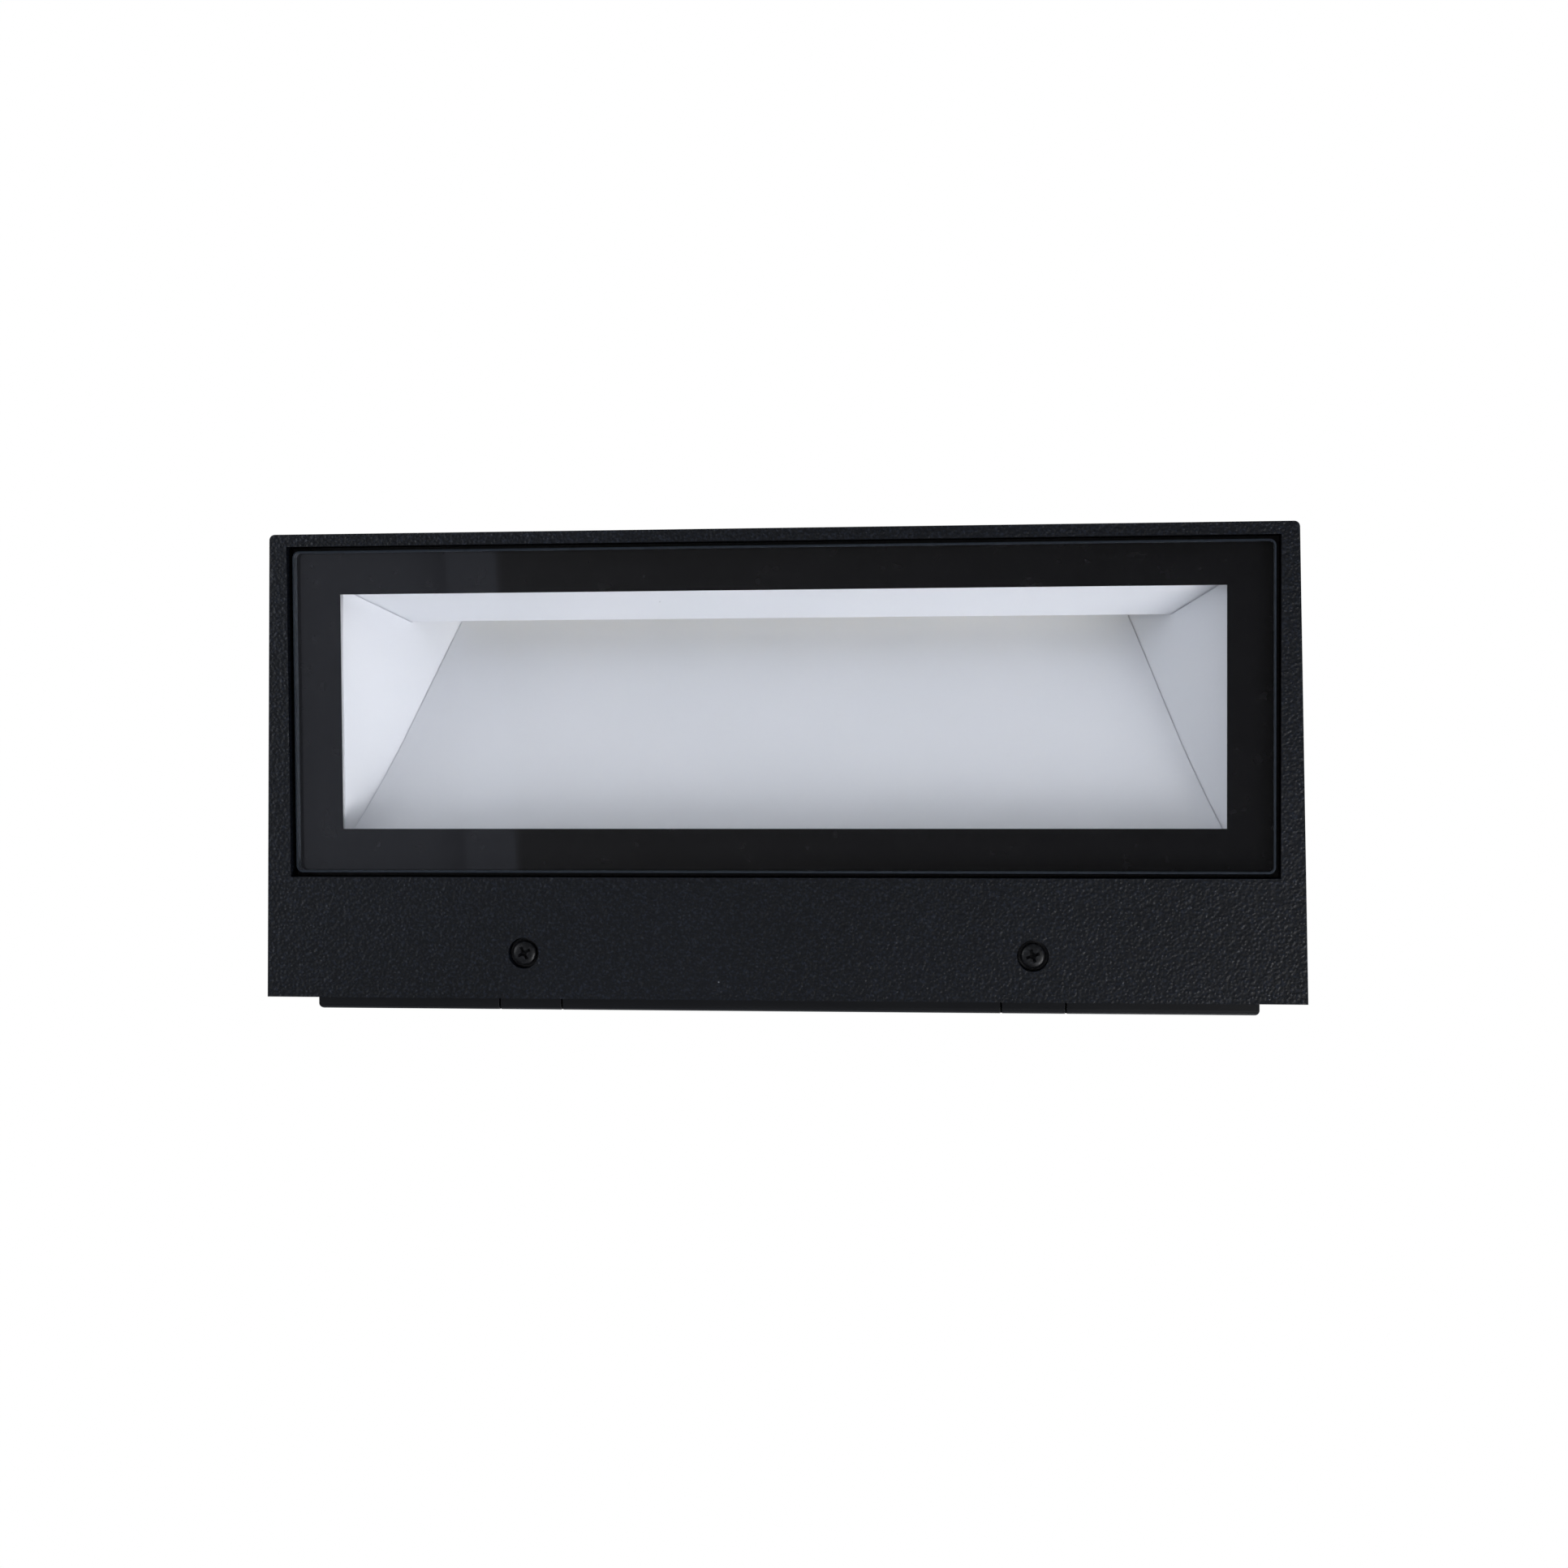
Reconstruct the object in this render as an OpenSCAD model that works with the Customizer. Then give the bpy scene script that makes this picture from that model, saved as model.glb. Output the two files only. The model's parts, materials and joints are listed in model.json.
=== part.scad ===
// Outdoor LED wall luminaire: a cast cup that hangs and swings on a sheet-metal wall bracket.
// Frame: +Z up, the wall is the plane Y = 0, the front looks along -Y, and light leaves downward.
// The origin is on the back face of the wall bracket, at half the housing's height. Millimetres.

/* [Housing] */
// Width of the housing at its wall side
housing_w = 300; // [250:1:360]
// Depth of the housing, from its front face to its rear edge
housing_d = 135; // [112:0.5:165]
// Height of the housing at its rear edge
housing_h = 76; // [74:0.5:95]
// Slope of the side walls and the top, in degrees
draft = 1.06; // [0:0.02:1.5]
// Thickness of the cast walls
wall_t = 3; // [2.2:0.1:3.6]
// Radius of the two upright front edges
front_edge_r = 1.6; // [0.8:0.1:3]
// Gap between the housing's rear edge and the wall
wall_gap = 4.5; // [3:0.5:8]

/* [Glass and window] */
// Width of the rim in front of the glass recess
rim_front = 3.55; // [2.5:0.05:8]
// Width of the rim beside the glass recess, at the front
rim_side = 5.05; // [4:0.05:8]
// Depth of the plain apron behind the glass recess
apron_d = 35.2; // [34:0.2:40]
// Thickness of the glass
glass_t = 5; // [4:0.5:6]
// Height of the glass above the housing's underside
glass_sink = 1; // [0.5:0.1:2]
// Open gap round the edge of the glass
glass_gap = 1.25; // [0.8:0.05:2]
// Corner radius of the glass
glass_corner_r = 2; // [1:0.5:5]
// Width of the enamelled border at the glass's short sides
border_side = 13.4; // [10:0.1:16]
// Width of the enamelled border along the glass's long sides
border_long = 12.6; // [10:0.1:15]
// Thickness of the enamel
enamel_t = 0.15; // [0.1:0.05:0.3]
// Thickness of the silicone bed behind the glass
seal_t = 1.35; // [1:0.05:2]
// Thickness of the ledge that the glass is bonded to
ledge_t = 3.5; // [3:0.1:5]

/* [Reflector] */
// Thickness of the reflector sheets
sheet_t = 1; // [0.8:0.1:1.5]
// Height of the light gap above the glare shield's edge
light_gap = 16; // [12:0.1:16.4]
// Height of the glare shield above the ledge
shield_h = 20; // [18:0.5:22]
// How far the glare shield leans back over its height
shield_lean = 9.4; // [6:0.2:12]
// Half the width of the reflector at the glare shield's edge, less than half the window's width by this
cheek_inset = 14.8; // [12:0.2:18]
// Sideways lean of the cheeks, per unit of height
cheek_lean = 0.78; // [0.6:0.02:0.9]
// Sideways flare of the cheeks, per unit of depth
cheek_flare = 0.03; // [0:0.01:0.08]
// Drop of the fold in the back panel below the LEDs' end of the panel
fold_drop = 16; // [12:0.5:18]
// Distance of the fold behind the glare shield's edge
fold_back = 31; // [24:0.5:34]
// Upward bow of the back panel below its fold
panel_bow = 0.8; // [0:0.1:2]

/* [LED unit] */
// Width of the LED board's upright face
board_h = 12; // [10:0.5:12.5]
// Thickness of the LED board
board_t = 1.6; // [1:0.2:2]
// Number of LEDs on the board
led_count = 24; // [12:1:26]
// Side of one LED
led_size = 3; // [2:0.1:3.5]
// Thickness of one LED
led_t = 0.8; // [0.5:0.1:1]
// Thickness of the thermal pad
pad_t = 0.5; // [0.3:0.1:1]
// Height of the heat bar
bar_h = 15; // [14:0.5:15]

/* [Driver and wiring] */
// Length of the driver
driver_w = 130; // [90:1:132]
// Height of the driver
driver_h = 30; // [24:1:32]
// Thickness of the driver
driver_t = 21; // [16:1:24]
// Radius of the driver's leads
lead_r = 0.9; // [0.6:0.1:1]
// Sideways place of the cable gland and of the bracket's cable entry
cable_x = 62; // [60:1:66]
// Radius of the gland's thread
gland_r = 8; // [6:0.5:9]
// Radius of the cable that the gland takes
cable_r = 4; // [3:0.25:4.5]
// Radius of the bore in the bracket's grommet
grommet_bore_r = 5.5; // [5:0.25:7]

/* [Rear cover] */
// Thickness of the rear cover
cover_t = 4; // [3.5:0.5:6]
// Thickness of the gasket under the rear cover
gasket_t = 1; // [0.8:0.1:2]
// Width of the sealing rim that the rear cover closes
seal_rim_w = 10; // [9:0.5:12]

/* [Bracket and fixings] */
// Inset of the bracket from the housing's width, at each side
bracket_inset = 12.7; // [11:0.1:20]
// Thickness of the bracket's sheet
bracket_t = 1.5; // [1.2:0.1:1.8]
// Depth of the bracket's flanges
flange_d = 8; // [6:0.5:9]
// Height of the bracket's lower face above the housing's underside
bracket_lift = 9; // [8:0.5:11]
// Distance between the two fixing screws
screw_spacing = 146.8; // [120:0.2:176]
// Distance of the fixing screws in front of the wall
screw_reach = 17.7; // [17:0.1:20]
// Radius of the fixing screws' shanks
screw_r = 2; // [1.7:0.05:2.4]
// Radius of the fixing screws' heads
screw_head_r = 3.5; // [3.2:0.05:3.8]
// Radius of the counterbores in the apron
counterbore_r = 4.5; // [4.3:0.05:5]
// Distance between the two wall slots
wall_slot_spacing = 180; // [150:1:200]
// Width of the wall slots
wall_slot_w = 5.5; // [4.5:0.1:6.5]
// Length of the wall slots
wall_slot_l = 12; // [10:0.5:16]
// Radius of the hinge pins
pin_r = 2; // [1.5:0.1:2.2]
// Depth of the hinge pins' axis below the top of the housing
hinge_drop = 7; // [7:0.25:9]

/* [Clearances] */
// Radial gap of the hinge pins in the bracket's cradles
pin_clearance = 0.05; // [0.02:0.01:0.1]
// Gap between parts that move past each other
moving_gap = 0.3; // [0.2:0.05:0.4]
// Gap between the edges of the reflector's sheets
sheet_gap = 0.4; // [0.2:0.05:0.8]
// Radial gap of the fixing screws in their bosses
screw_gap = 0.25; // [0.2:0.05:0.4]
// Radial gap of the fixing screws in the clamp nuts
thread_gap = 0.06; // [0.02:0.01:0.1]

/* [Hidden] */

round_fn = 48;
eps = 0.01;

// Planes of the housing
rear_y = -wall_gap;
front_y = rear_y - housing_d;
under_z = -housing_h / 2;
slope = tan(draft);
function half_w(y) = housing_w / 2 + (y - rear_y) * slope;
function top_z(y) = housing_h / 2 + (y - rear_y) * slope;

// Glass, from the underside inward
recess_front = front_y + rim_front;
recess_rear = rear_y - apron_d;
recess_d = recess_rear - recess_front;
recess_w = 2 * (half_w(front_y) - rim_side);
recess_mid = (recess_front + recess_rear) / 2;
glass_z = under_z + glass_sink;
enamel_z = glass_z + glass_t;
seal_z = enamel_z + enamel_t;
ledge_z = seal_z + seal_t;
floor_z = ledge_z + ledge_t;
glass_w = recess_w - 2 * glass_gap;
glass_d = recess_d - 2 * glass_gap;
window_w = glass_w - 2 * border_side;
window_d = glass_d - 2 * border_long;
ledge_lap = 2.8;
opening_w = window_w + 2 * ledge_lap;
opening_d = window_d + 2 * ledge_lap;

// Reflector, seen from the side: glare shield, back panel and the cheeks between them
shield_foot_y = recess_front + border_long - 0.85;
shield_top_y = shield_foot_y + shield_lean;
shield_top_z = floor_z + shield_h;
led_z = shield_top_z + light_gap / 2;
panel_top_z = shield_top_z + light_gap;
panel_foot_y = recess_rear - 7.1;
led_face_y = shield_top_y - 3.6;
fold_y = shield_top_y + fold_back;
fold_z = panel_top_z - fold_drop;
fold_steps = 6;
function bowed(t) = [panel_foot_y + t * (fold_y - panel_foot_y),
    floor_z + t * (fold_z - floor_z) + 4 * t * (1 - t) * panel_bow];
function straight(t) = [fold_y + t * (led_face_y - fold_y), fold_z + t * (panel_top_z - fold_z)];
panel_line = concat([for (i = [0:fold_steps]) bowed(i / fold_steps)], [straight(0.7), straight(1)]);
foot_w = 8;
// Inner face of a cheek at a given place
function cheek_x(y, z) = window_w / 2 - cheek_inset + cheek_lean * (shield_top_z - z)
    + cheek_flare * (y - shield_top_y);

// LED unit, from the front wall backward
front_inner_y = front_y + wall_t;
cast_pad_t = 6;
board_rear_y = led_face_y - led_t;
board_front_y = board_rear_y - board_t;
bar_rear_y = board_front_y - pad_t;
bar_front_y = front_inner_y + cast_pad_t;
bar_screw_r = 2;
small_screw_r = 1.5;
connector_w = 7;
connector_t = 5;
connector_x = -(cheek_x(shield_top_y, led_z - 4) + 2.5 + connector_w / 2);
board_half = -connector_x + connector_w / 2 + 1;
bar_half = board_half + 7;

// Sealing rim, rear cover and what it carries
rim_rear_y = -33;
rim_t = 7;
rim_front_y = rim_rear_y - rim_t;
cover_front_y = rim_rear_y + gasket_t;
cover_rear_y = cover_front_y + cover_t;
rim_half_w = half_w(rim_rear_y) - wall_t - seal_rim_w;
rim_low_z = floor_z + 4;
rim_high_z = top_z(rim_front_y) - wall_t - seal_rim_w;
cover_margin = 6.5;
cover_low_z = rim_low_z - cover_margin - 2;
cover_high_z = rim_high_z + cover_margin + 2;
cover_half = rim_half_w + cover_margin;
cover_screw_x = [for (k = [-1.5, -0.5, 0.5, 1.5]) k * 2 * (rim_half_w - 12) / 3];
cover_screw_z = [rim_low_z - 3.6, rim_high_z + 3.8];
cover_screw_l = 10;
driver_left = -rim_half_w + 22;
driver_right = driver_left + driver_w;
driver_z = (rim_low_z + rim_high_z) / 2 + 1;
driver_front_y = cover_front_y - driver_t;
ear_l = 8;
ear_t = 3;
cable_z = driver_z - 3;
gland_hole_r = gland_r + 0.1;
block_x = cable_x + 32;
block_w = 16;
pole_pitch = 9;
pole_count = 3;
block_t = 15;
block_base = cover_front_y;
pole_z = [for (k = [-1:1]) driver_z + k * pole_pitch];

// Bracket, hinge and fixing screws
bracket_half = housing_w / 2 - bracket_inset;
bracket_low_z = under_z + bracket_lift;
hinge_y = -screw_reach;
hinge_z = housing_h / 2 - hinge_drop;
bracket_high_z = hinge_z - 5;
tab_w = 18;
slit_w = 0.5;
slit_relief = 1;
nut_w = 7;
nut_t = 2.2;
tab_front_y = -screw_reach - nut_w / 2;
tab_top_z = bracket_low_z + bracket_t;
boss_top_z = bracket_low_z - moving_gap;
boss_r = 6.5;
counterbore_depth = 3.4;
counterbore_z = under_z + counterbore_depth;
washer_t = 0.6;
head_z = counterbore_z - washer_t;
screw_head_h = 2.4;
nut_z = tab_top_z + moving_gap;
fixing_l = nut_z + nut_t + 1.2 - head_z;
ear_back = 4;
ear_front = 5;
ear_top = 1;
lug_r = 5;
lug_inner = bracket_half + 2;
pin_inner = bracket_half - bracket_t - 2.5;
pin_outer = half_w(hinge_y) - wall_t + 1.2;
bend_r = 1.5;
earth_x = -46;
earth_collar_t = 3;
grommet_r = 11;

// ---------- shared shapes ----------

module block(x0, x1, y0, y1, z0, z1)
    translate([x0, y0, z0]) cube([x1 - x0, y1 - y0, z1 - z0]);

module rod_x(x0, x1, y, z, r)
    translate([x0, y, z]) rotate([0, 90, 0]) cylinder(r = r, h = x1 - x0, $fn = round_fn);

module rod_y(x, z, y0, y1, r)
    translate([x, y1, z]) rotate([90, 0, 0]) cylinder(r = r, h = y1 - y0, $fn = round_fn);

module rod_z(x, y, z0, z1, r)
    translate([x, y, z0]) cylinder(r = r, h = z1 - z0, $fn = round_fn);

// An outline drawn in X and Z, drawn out along Y
module along_y(y0, y1)
    translate([0, y1, 0]) rotate([90, 0, 0]) linear_extrude(y1 - y0) children();

// An outline drawn in Y and Z, drawn out along X
module along_x(x0, x1)
    translate([x0, 0, 0]) rotate([90, 0, 90]) linear_extrude(x1 - x0) children();

module both_sides() {
    children();
    mirror([1, 0, 0]) children();
}

module rounded_rect(w, d, r) {
    square([w - 2 * r, d], center = true);
    square([w, d - 2 * r], center = true);
    for (sx = [-1, 1], sy = [-1, 1])
        translate([sx * (w / 2 - r), sy * (d / 2 - r)]) circle(r = r, $fn = round_fn);
}

// A cross-recessed pan-head screw: its head's seat at z = 0, head below, shank up along +Z
module pan_screw(r, l, head_r, head_h) {
    recess = head_r * 0.5;
    difference() {
        union() {
            translate([0, 0, -eps]) cylinder(r = r, h = l + eps, $fn = round_fn);
            rotate_extrude($fn = round_fn)
                polygon([[0, 0], [head_r, 0], [head_r, -head_h * 0.55], [head_r * 0.93, -head_h * 0.8],
                    [head_r * 0.74, -head_h * 0.95], [head_r * 0.5, -head_h], [0, -head_h]]);
        }
        for (a = [0, 90])
            rotate([0, 0, a]) translate([-recess, -head_r * 0.12, -head_h - 1])
                cube([2 * recess, head_r * 0.24, head_h * 0.55 + 1]);
        translate([0, 0, -head_h - 1]) cylinder(r = head_r * 0.24, h = head_h * 0.7 + 1, $fn = 24);
    }
}

module screw_up(x, y, z, r, l, head_r, head_h) translate([x, y, z]) pan_screw(r, l, head_r, head_h);

module screw_down(x, y, z, r, l, head_r, head_h)
    translate([x, y, z]) rotate([180, 0, 0]) pan_screw(r, l, head_r, head_h);

// Head toward the wall, shank toward the front
module screw_forward(x, y, z, r, l, head_r, head_h)
    translate([x, y, z]) rotate([90, 0, 0]) pan_screw(r, l, head_r, head_h);

// Head toward the front, shank toward the wall
module screw_back(x, y, z, r, l, head_r, head_h)
    translate([x, y, z]) rotate([-90, 0, 0]) pan_screw(r, l, head_r, head_h);

// ---------- wall bracket ----------

module bracket_outline(low, high)
    polygon(concat([[-flange_d, low], [-flange_d, high]],
        [for (a = [90:-15:0]) [-bend_r + bend_r * cos(a), high - bend_r + bend_r * sin(a)]],
        [for (a = [0:-15:-90]) [-bend_r + bend_r * cos(a), low + bend_r + bend_r * sin(a)]]));

module bracket_pan() {
    difference() {
        intersection() {
            along_x(-bracket_half, bracket_half) bracket_outline(bracket_low_z, bracket_high_z);
            translate([0, 0, bracket_low_z]) linear_extrude(bracket_high_z - bracket_low_z)
                rotate([0, 0, 90]) bracket_outline(-bracket_half, bracket_half);
        }
        block(-bracket_half + bracket_t, bracket_half - bracket_t, -flange_d - 1, -bracket_t,
            tab_top_z, bracket_high_z - bracket_t);
        for (x = [-1, 1] * screw_spacing / 2, s = [-1, 1])
            translate([x + s * (tab_w + slit_w) / 2, 0, 0])
                block(-slit_w / 2, slit_w / 2, -flange_d - 1, 1, bracket_low_z - 1, tab_top_z + slit_relief);
    }
}

module bracket_ear()
    along_x(bracket_half - bracket_t, bracket_half)
        difference() {
            polygon([[-bracket_t, bracket_high_z], [hinge_y + ear_back, bracket_high_z],
                [hinge_y + ear_back, hinge_z + ear_top], [hinge_y - ear_front, hinge_z + ear_top],
                [hinge_y - ear_front, hinge_z - 9], [-flange_d + 1, hinge_z - 26],
                [-bracket_t, hinge_z - 26]]);
            translate([hinge_y, hinge_z]) circle(r = pin_r + pin_clearance, $fn = round_fn);
            translate([hinge_y - pin_r - pin_clearance, hinge_z]) square([2 * (pin_r + pin_clearance), 5]);
        }

module wall_slot()
    along_y(-bracket_t - 1, 1) {
        square([wall_slot_l - wall_slot_w, wall_slot_w], center = true);
        for (s = [-1, 1]) translate([s * (wall_slot_l - wall_slot_w) / 2, 0])
            circle(d = wall_slot_w, $fn = round_fn);
    }

module wall_bracket() color("#191b20") {
    difference() {
        union() {
            bracket_pan();
            both_sides() bracket_ear();
            for (x = [-1, 1] * screw_spacing / 2)
                block(x - tab_w / 2, x + tab_w / 2, tab_front_y, -flange_d + eps, bracket_low_z, tab_top_z);
            rod_y(earth_x, 0, -bracket_t - earth_collar_t, -bracket_t + eps, 4);
        }
        for (x = [-1, 1] * screw_spacing / 2) {
            rod_z(x, hinge_y, bracket_low_z - 1, tab_top_z + 1, screw_r + moving_gap);
            block(x - screw_r - moving_gap, x + screw_r + moving_gap, tab_front_y - 1, hinge_y,
                bracket_low_z - 1, tab_top_z + 1);
        }
        for (x = [-1, 1] * wall_slot_spacing / 2) translate([x, 0, 0]) wall_slot();
        rod_y(cable_x, cable_z, -bracket_t - 1, 1, grommet_r);
        rod_y(earth_x, 0, -bracket_t - earth_collar_t - 1, 1, screw_r);
    }
}

module cable_grommet() color("#151515")
    translate([cable_x, 0, cable_z]) rotate([90, 0, 0]) rotate_extrude($fn = round_fn)
        polygon([[grommet_bore_r, 0], [grommet_r, 0], [grommet_r, bracket_t], [grommet_r + 2.5, bracket_t],
            [grommet_r + 2.5, bracket_t + 1.6], [grommet_bore_r + 1.5, bracket_t + 3],
            [grommet_bore_r, bracket_t + 3]]);

module earth_washer() color("#c9b04a")
    difference() {
        rod_y(earth_x, 0, -bracket_t - earth_collar_t - 1, -bracket_t - earth_collar_t, 4.4);
        rod_y(earth_x, 0, -bracket_t - earth_collar_t - 2, 0, screw_r);
    }

module earth_screw() color("#bfc3c8")
    screw_back(earth_x, -bracket_t - earth_collar_t - 1, 0, screw_r, earth_collar_t + bracket_t, 3.8, 2.6);

// ---------- housing ----------

// A space with the housing's draft on its sides and top, inset by the same amount
module drafted_space(inset, y0, y1, z0)
    intersection() {
        translate([0, 0, z0]) linear_extrude(housing_h)
            polygon([[-half_w(y0) + inset, y0], [half_w(y0) - inset, y0],
                [half_w(y1) - inset, y1], [-half_w(y1) + inset, y1]]);
        along_x(-housing_w, housing_w)
            polygon([[y0, z0], [y1, z0], [y1, top_z(y1) - inset], [y0, top_z(y0) - inset]]);
    }

module housing_block()
    intersection() {
        drafted_space(0, front_y, rear_y, under_z);
        translate([0, 0, under_z - 1]) linear_extrude(housing_h + 2)
            polygon(concat(
                [for (a = [180:15:270]) [-half_w(front_y) + front_edge_r * (1 + cos(a)),
                    front_y + front_edge_r * (1 + sin(a))]],
                [for (a = [270:15:360]) [half_w(front_y) - front_edge_r * (1 - cos(a)),
                    front_y + front_edge_r * (1 + sin(a))]],
                [[half_w(rear_y) + 1, rear_y], [-half_w(rear_y) - 1, rear_y]]));
    }

module housing_hollows() {
    drafted_space(wall_t, front_inner_y, rim_front_y, floor_z);
    drafted_space(wall_t, rim_rear_y, rear_y + 1, under_z + wall_t);
    block(-rim_half_w, rim_half_w, rim_front_y - 1, rim_rear_y + 1, rim_low_z, rim_high_z);
    block(-recess_w / 2, recess_w / 2, recess_front, recess_rear, under_z - 1, ledge_z);
    translate([0, recess_mid, 0])
        block(-opening_w / 2, opening_w / 2, -opening_d / 2, opening_d / 2, under_z, floor_z + 1);
}

module housing_additions() {
    for (x = [-1, 1] * screw_spacing / 2) {
        rod_z(x, hinge_y, under_z + 1, boss_top_z, boss_r);
        block(x - 5, x + 5, tab_front_y - moving_gap - 1.6, tab_front_y - moving_gap,
            under_z + 1, nut_z + nut_t);
    }
    both_sides() intersection() {
        rod_x(lug_inner, housing_w / 2, hinge_y, hinge_z, lug_r);
        drafted_space(1, front_y + 1, rear_y - 1, under_z);
    }
    block(-bar_half - 2, bar_half + 2, front_inner_y - 1, bar_front_y, led_z - bar_h / 2, led_z + bar_h / 2);
}

module housing() color("#1e2128")
    difference() {
        union() {
            difference() {
                housing_block();
                housing_hollows();
            }
            housing_additions();
        }
        for (x = [-1, 1] * screw_spacing / 2) {
            rod_z(x, hinge_y, under_z - 1, counterbore_z, counterbore_r);
            rod_z(x, hinge_y, under_z - 1, boss_top_z + 1, screw_r + screw_gap);
        }
        both_sides() rod_x(lug_inner - 1, pin_outer, hinge_y, hinge_z, pin_r);
        for (x = cover_screw_x, z = cover_screw_z)
            rod_y(x, z, cover_rear_y - cover_screw_l, rim_rear_y + 1, screw_r);
        for (p = reflector_screw_places)
            rod_z(p[0], p[1], floor_z - reflector_thread, floor_z + 1, small_screw_r);
        for (x = [-1, 1] * bar_screw_x)
            rod_y(x, led_z, bar_front_y - 5, bar_front_y + 1, bar_screw_r);
    }

module hinge_pins() color("#b9bdc2") both_sides() rod_x(pin_inner, pin_outer, hinge_y, hinge_z, pin_r);

module clamp_nuts() color("#b9bdc2")
    for (x = [-1, 1] * screw_spacing / 2)
        difference() {
            translate([x, hinge_y, nut_z + nut_t / 2]) cube([nut_w, nut_w, nut_t], center = true);
            rod_z(x, hinge_y, nut_z - 1, nut_z + nut_t + 1, screw_r + thread_gap);
        }

module screw_washer(x) color("#16181c")
    difference() {
        rod_z(x, hinge_y, head_z, counterbore_z, counterbore_r - moving_gap);
        rod_z(x, hinge_y, head_z - 1, counterbore_z + 1, screw_r + thread_gap);
    }

module screw_washer_left() screw_washer(-screw_spacing / 2);
module screw_washer_right() screw_washer(screw_spacing / 2);

module body_screw(x) color("#202227")
    screw_up(x, hinge_y, head_z, screw_r, fixing_l, screw_head_r, screw_head_h);

module body_screw_left() body_screw(-screw_spacing / 2);
module body_screw_right() body_screw(screw_spacing / 2);

// ---------- glass ----------

module glass_cover() color("#aeb8bd", 0.35)
    translate([0, recess_mid, glass_z]) linear_extrude(glass_t)
        rounded_rect(glass_w, glass_d, glass_corner_r);

module enamel_border() color("#0c0d10")
    translate([0, recess_mid, enamel_z]) linear_extrude(enamel_t)
        difference() {
            rounded_rect(glass_w - 1.2, glass_d - 1.2, glass_corner_r - 0.6);
            square([window_w, window_d], center = true);
        }

module glass_seal() color("#17181a")
    translate([0, recess_mid, seal_z]) linear_extrude(seal_t)
        difference() {
            square([recess_w - 0.4, recess_d - 0.4], center = true);
            square([opening_w + 1, opening_d + 1], center = true);
        }

// ---------- reflector ----------

reflector_thread = 2.8;
cheek_foot_x = cheek_x(recess_mid, floor_z) + sheet_t + 5.5;
panel_foot_end = rim_front_y - moving_gap;
panel_screw_y = (panel_foot_y + panel_foot_end) / 2;
shield_foot_end = shield_foot_y - foot_w;
reflector_screw_places = [
    for (s = [-1, 1], y = [shield_foot_y + 14, panel_foot_y - 14]) [s * cheek_foot_x, y],
    for (x = [-1, 1] * 60) [x, panel_screw_y],
    for (x = [-1, 1] * 60) [x, shield_foot_y - 4.6]];

module reflector_holes()
    for (p = reflector_screw_places)
        rod_z(p[0], p[1], floor_z - 1, floor_z + sheet_t + 1, small_screw_r + 0.2);

function lifted(line, t) = [for (i = [len(line) - 1:-1:0]) [line[i][0], line[i][1] + t]];

module reflector_back() color("#e6e9ee")
    difference() {
        union() {
            intersection() {
                along_x(-housing_w, housing_w) polygon(concat(panel_line, lifted(panel_line, sheet_t)));
                both_sides() cheek_side(-sheet_gap);
            }
            block(-cheek_x(panel_foot_y, floor_z) + 2 * sheet_t, cheek_x(panel_foot_y, floor_z) - 2 * sheet_t,
                panel_foot_y - 0.6, panel_foot_end, floor_z, floor_z + sheet_t);
            block(-bar_half + 16, bar_half - 16, led_face_y - 8, led_face_y + eps,
                panel_top_z, panel_top_z + sheet_t);
        }
        reflector_holes();
    }

module glare_shield() color("#eef0f4")
    difference() {
        union() {
            intersection() {
                along_x(-housing_w, housing_w)
                    polygon([[shield_foot_y, floor_z], [shield_top_y, shield_top_z],
                        [shield_top_y - sheet_t, shield_top_z], [shield_foot_y - sheet_t, floor_z]]);
                both_sides() cheek_side(sheet_t * 1.3);
            }
            block(-cheek_x(shield_foot_y, floor_z) + 2 * sheet_t, cheek_x(shield_foot_y, floor_z) - 2 * sheet_t,
                shield_foot_end, shield_foot_y, floor_z, floor_z + sheet_t);
        }
        reflector_holes();
    }

// The cheek is a leaning plate, cut to the reflector's side view, with a foot on the ledge
module reflector_cheek_right() color("#eef1f5")
    difference() {
        union() {
            intersection() {
                along_x(0, housing_w)
                    polygon(concat([[shield_foot_y + sheet_gap, floor_z], [shield_top_y + sheet_gap, shield_top_z],
                        [led_face_y + 0.5, shield_top_z + sheet_gap], [led_face_y + 0.5, panel_top_z - 0.5]],
                        [for (i = [len(panel_line) - 2:-1:1]) [panel_line[i][0], panel_line[i][1] + 2.6]],
                        [[panel_foot_y - 0.5, floor_z + 2.6], [panel_foot_y - 0.5, floor_z]]));
                cheek_slab();
            }
            block(cheek_x(shield_foot_y, floor_z) + 0.4, cheek_foot_x + 3.5,
                shield_foot_y + 6, panel_foot_y - 4, floor_z, floor_z + sheet_t);
        }
        reflector_holes();
    }

module cheek_slab()
    difference() {
        cheek_side(sheet_t * 1.3);
        cheek_side(0);
    }

// Everything inside the cheek's face, moved outward by a distance, as a leaning prism
module cheek_side(out) {
    low = floor_z;
    high = panel_top_z + 4;
    y0 = shield_foot_y - 10;
    y1 = panel_foot_y + 4;
    polyhedron([
        [0, y0, low], [cheek_x(y0, low) + out, y0, low], [cheek_x(y1, low) + out, y1, low], [0, y1, low],
        [0, y0, high], [cheek_x(y0, high) + out, y0, high], [cheek_x(y1, high) + out, y1, high],
        [0, y1, high]],
        [[0, 1, 2, 3], [4, 7, 6, 5], [0, 4, 5, 1], [1, 5, 6, 2], [2, 6, 7, 3], [3, 7, 4, 0]]);
}

module reflector_cheek_left() mirror([1, 0, 0]) reflector_cheek_right();

module reflector_screws() color("#c3c7cc")
    for (p = reflector_screw_places)
        screw_down(p[0], p[1], floor_z + sheet_t, small_screw_r, sheet_t + reflector_thread, 2.6, 1.6);

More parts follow.
